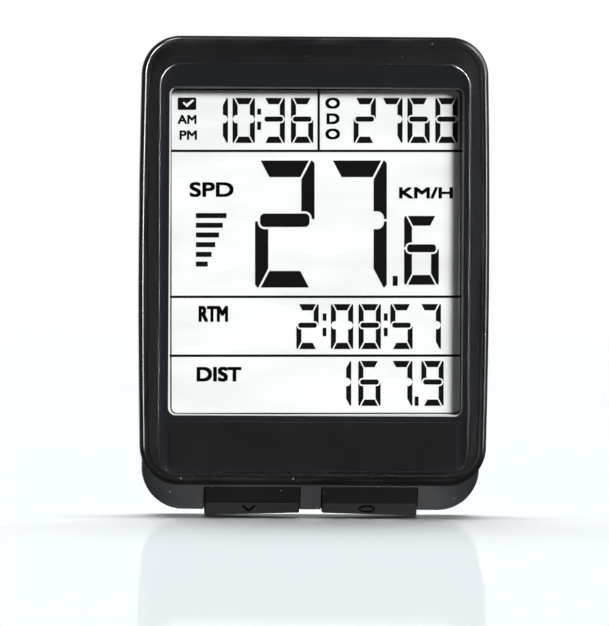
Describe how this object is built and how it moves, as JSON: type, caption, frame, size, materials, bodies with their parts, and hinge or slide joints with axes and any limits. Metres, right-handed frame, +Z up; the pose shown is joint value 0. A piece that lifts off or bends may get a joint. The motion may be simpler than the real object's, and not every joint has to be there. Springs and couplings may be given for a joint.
{
  "type": "cycling computer",
  "caption": "Upright black handlebar cycling computer with a multi-line LCD under a clear lens, wide keys on a sloping chin, and a twist-lock mount and coin-slot battery cover behind.",
  "frame": {"origin": "centre of the locating bore's mouth, in the end face of the mount boss on the back of the case", "axes": "+Y from the screen out through the back, along the mount's axis; +Z up the case towards the top of the screen; +X to the right when facing the screen"},
  "size_m": [0.046, 0.017, 0.0631],
  "materials": {
    "case_black": "fine satin, lightly polished on the rim",
    "panel_black": "satin",
    "lens_clear": "clear, polished",
    "print_black": "printed black behind a clear lens",
    "plate_black": "matt film",
    "tape_black": "foam adhesive",
    "lcd_glass": "clear",
    "polariser": "clear film",
    "reflector": "white reflecting film",
    "edge_seal": "epoxy",
    "holder_white": "moulded",
    "zebra_rubber": "layered",
    "board_green": "solder mask",
    "chip_resin": "cast resin",
    "chip_ceramic": "fired",
    "bright_steel": "nickel plated",
    "screw_steel": "dark zinc plate",
    "ferrite": "pressed powder",
    "coil_copper": "enamelled copper wire",
    "switch_black": "moulded",
    "plunger_white": "moulded",
    "button_black": "fine satin",
    "seal_rubber": "silicone",
    "cover_black": "fine spark texture"
  },
  "bodies": {
    "case": {"battery": "bright_steel", "board_parts": "chip_ceramic", "board_screws": "bright_steel", "case_screws": "screw_steel", "case_seal": "seal_rubber", "circuit_board": "board_green", "contact_negative": "bright_steel", "contact_positive": "bright_steel", "controller_chip": "chip_resin", "crystal": "bright_steel", "display_lens": "lens_clear", "front_bezel": "panel_black", "front_shell": "case_black", "lcd_edge_seal": "edge_seal", "lcd_gasket": "tape_black", "lcd_glass_front": "lcd_glass", "lcd_glass_rear": "lcd_glass", "lcd_holder": "holder_white", "lcd_polariser_front": "polariser", "lcd_reflector": "reflector", "lens_mask": "print_black", "lens_tape": "tape_black", "name_plate": "plate_black", "rear_shell": "case_black", "receiver_coil": "coil_copper", "receiver_core": "ferrite", "switch_left": "switch_black", "switch_right": "switch_black", "zebra_strip": "zebra_rubber"},
    "button_left": {"button_left": "button_black", "button_boot_left": "seal_rubber"},
    "button_right": {"button_right": "button_black", "button_boot_right": "seal_rubber"},
    "plunger_left": {"plunger_left": "plunger_white"},
    "plunger_right": {"plunger_right": "plunger_white"},
    "battery_cover": {"battery_cover": "cover_black", "cover_o_ring": "seal_rubber"}
  },
  "joints": [
    {"name": "button_left_press", "type": "slide", "parent": "case", "child": "button_left", "axis": [0, 0, 1], "range_m": [0, 0.0005], "stiffness_N_per_m": 1200, "springref_m": -0.0005},
    {"name": "button_right_press", "type": "slide", "parent": "case", "child": "button_right", "axis": [0, 0, 1], "range_m": [0, 0.0005], "stiffness_N_per_m": 1200, "springref_m": -0.0005},
    {"name": "plunger_left_press", "type": "slide", "parent": "case", "child": "plunger_left", "axis": [0, 0, 1], "range_m": [0, 0.0005]},
    {"name": "plunger_right_press", "type": "slide", "parent": "case", "child": "plunger_right", "axis": [0, 0, 1], "range_m": [0, 0.0005]},
    {"name": "battery_cover_turn", "type": "hinge", "parent": "case", "child": "battery_cover", "pos_m": [0, -0.0045, -0.0255], "axis": [0, 1, 0], "range_deg": [0, 40]}
  ],
  "couplings": [
    {"joint": "plunger_left_press", "follows": "button_left_press", "ratio": 1},
    {"joint": "plunger_right_press", "follows": "button_right_press", "ratio": 1}
  ]
}
